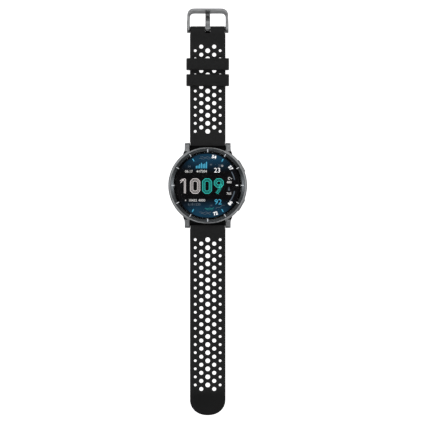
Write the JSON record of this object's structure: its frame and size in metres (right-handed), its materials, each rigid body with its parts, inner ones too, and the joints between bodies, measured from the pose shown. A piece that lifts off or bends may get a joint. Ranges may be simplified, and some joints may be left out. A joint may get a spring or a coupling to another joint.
{
  "type": "gps running watch",
  "caption": "Round metal-cased running watch with a touch display, side buttons and a perforated two-piece rubber strap with a pin buckle, laid open on its back.",
  "frame": {"origin": "centre of the sensor window's outer face, on the wrist side of the case", "axes": "+Z out of the display, +Y towards 12 o'clock and along the short strap, +X towards 3 o'clock"},
  "size_m": [0.0488, 0.252, 0.0122],
  "materials": {
    "bezel_metal": "circular brushed",
    "frame_metal": "satin",
    "buckle_metal": "satin",
    "hardware_steel": "machined",
    "gold_contact": "plated",
    "black_polymer": "fine texture",
    "strap_rubber": "matte, fine texture",
    "seal_rubber": "matte",
    "cover_glass": "polished, black printed border",
    "display": "lit numerals on black",
    "sensor_window": "polished, smoked",
    "green_board": "solder mask",
    "grey_foil": "foil",
    "emitter": "moulded lens",
    "receiver": "moulded lens"
  },
  "bodies": {
    "watch_head": {"bezel": "bezel_metal", "metal_frame": "frame_metal", "cover_glass": "cover_glass", "glass_seal": "seal_rubber", "display_panel": "display", "lower_case": "black_polymer", "back_cover": "black_polymer", "back_seal": "seal_rubber", "sensor_window": "sensor_window", "sensor_board": "green_board", "green_emitter": "emitter", "red_emitter": "emitter", "left_receiver": "receiver", "right_receiver": "receiver", "left_charge_contact": "gold_contact", "right_charge_contact": "gold_contact", "main_board": "green_board", "shield_can": "grey_foil", "gps_antenna": "gold_contact", "inner_chassis": "black_polymer", "battery": "grey_foil", "vibration_motor": "hardware_steel", "speaker": "black_polymer", "case_screw_1": "hardware_steel", "case_screw_2": "hardware_steel", "case_screw_3": "hardware_steel", "case_screw_4": "hardware_steel", "upper_button_seal": "seal_rubber", "upper_button_switch": "black_polymer", "lower_button_seal": "seal_rubber", "lower_button_switch": "black_polymer"},
    "upper_button": {"upper_button_cap": "frame_metal", "upper_button_clip": "hardware_steel"},
    "lower_button": {"lower_button_cap": "frame_metal", "lower_button_clip": "hardware_steel"},
    "short_strap": {"short_strap": "strap_rubber", "upper_bar_tube": "hardware_steel", "upper_bar_fixed_pin": "hardware_steel", "upper_bar_spring": "hardware_steel"},
    "upper_release_pin": {"upper_bar_release_pin": "hardware_steel"},
    "long_strap": {"long_strap": "strap_rubber", "lower_bar_tube": "hardware_steel", "lower_bar_fixed_pin": "hardware_steel", "lower_bar_spring": "hardware_steel"},
    "lower_release_pin": {"lower_bar_release_pin": "hardware_steel"},
    "upper_keeper": {"upper_keeper": "strap_rubber"},
    "lower_keeper": {"lower_keeper": "strap_rubber"},
    "buckle": {"buckle_frame": "buckle_metal", "buckle_bar_tube": "hardware_steel", "buckle_bar_left_pin": "hardware_steel", "buckle_bar_right_pin": "hardware_steel"},
    "tongue": {"buckle_tongue": "buckle_metal"}
  },
  "joints": [
    {"name": "upper_button_press", "type": "slide", "parent": "watch_head", "child": "upper_button", "axis": [-0.866, -0.5, 0], "range_m": [0, 0.0004], "stiffness_N_per_m": 800},
    {"name": "lower_button_press", "type": "slide", "parent": "watch_head", "child": "lower_button", "axis": [-0.866, 0.5, 0], "range_m": [0, 0.0004], "stiffness_N_per_m": 800},
    {"name": "short_strap_turn", "type": "hinge", "parent": "watch_head", "child": "short_strap", "pos_m": [0, 0.0245, 0.0043], "axis": [1, 0, 0], "range_deg": [-85, 30]},
    {"name": "long_strap_turn", "type": "hinge", "parent": "watch_head", "child": "long_strap", "pos_m": [0, -0.0245, 0.0043], "axis": [-1, 0, 0], "range_deg": [-85, 30]},
    {"name": "upper_bar_release", "type": "slide", "parent": "short_strap", "child": "upper_release_pin", "axis": [-1, 0, 0], "range_m": [0, 0.0013], "stiffness_N_per_m": 300},
    {"name": "lower_bar_release", "type": "slide", "parent": "long_strap", "child": "lower_release_pin", "axis": [1, 0, 0], "range_m": [0, 0.0013], "stiffness_N_per_m": 300},
    {"name": "upper_keeper_slide", "type": "slide", "parent": "short_strap", "child": "upper_keeper", "axis": [0, 1, 0], "range_m": [-0.0012, 0.009]},
    {"name": "lower_keeper_slide", "type": "slide", "parent": "short_strap", "child": "lower_keeper", "axis": [0, 1, 0], "range_m": [-0.017, 0.0012]},
    {"name": "buckle_turn", "type": "hinge", "parent": "short_strap", "child": "buckle", "pos_m": [0, 0.0964, 0.0025], "axis": [1, 0, 0], "range_deg": [-80, 45]},
    {"name": "tongue_turn", "type": "hinge", "parent": "buckle", "child": "tongue", "pos_m": [0, 0.0964, 0.0025], "axis": [1, 0, 0], "range_deg": [0, 60]}
  ]
}
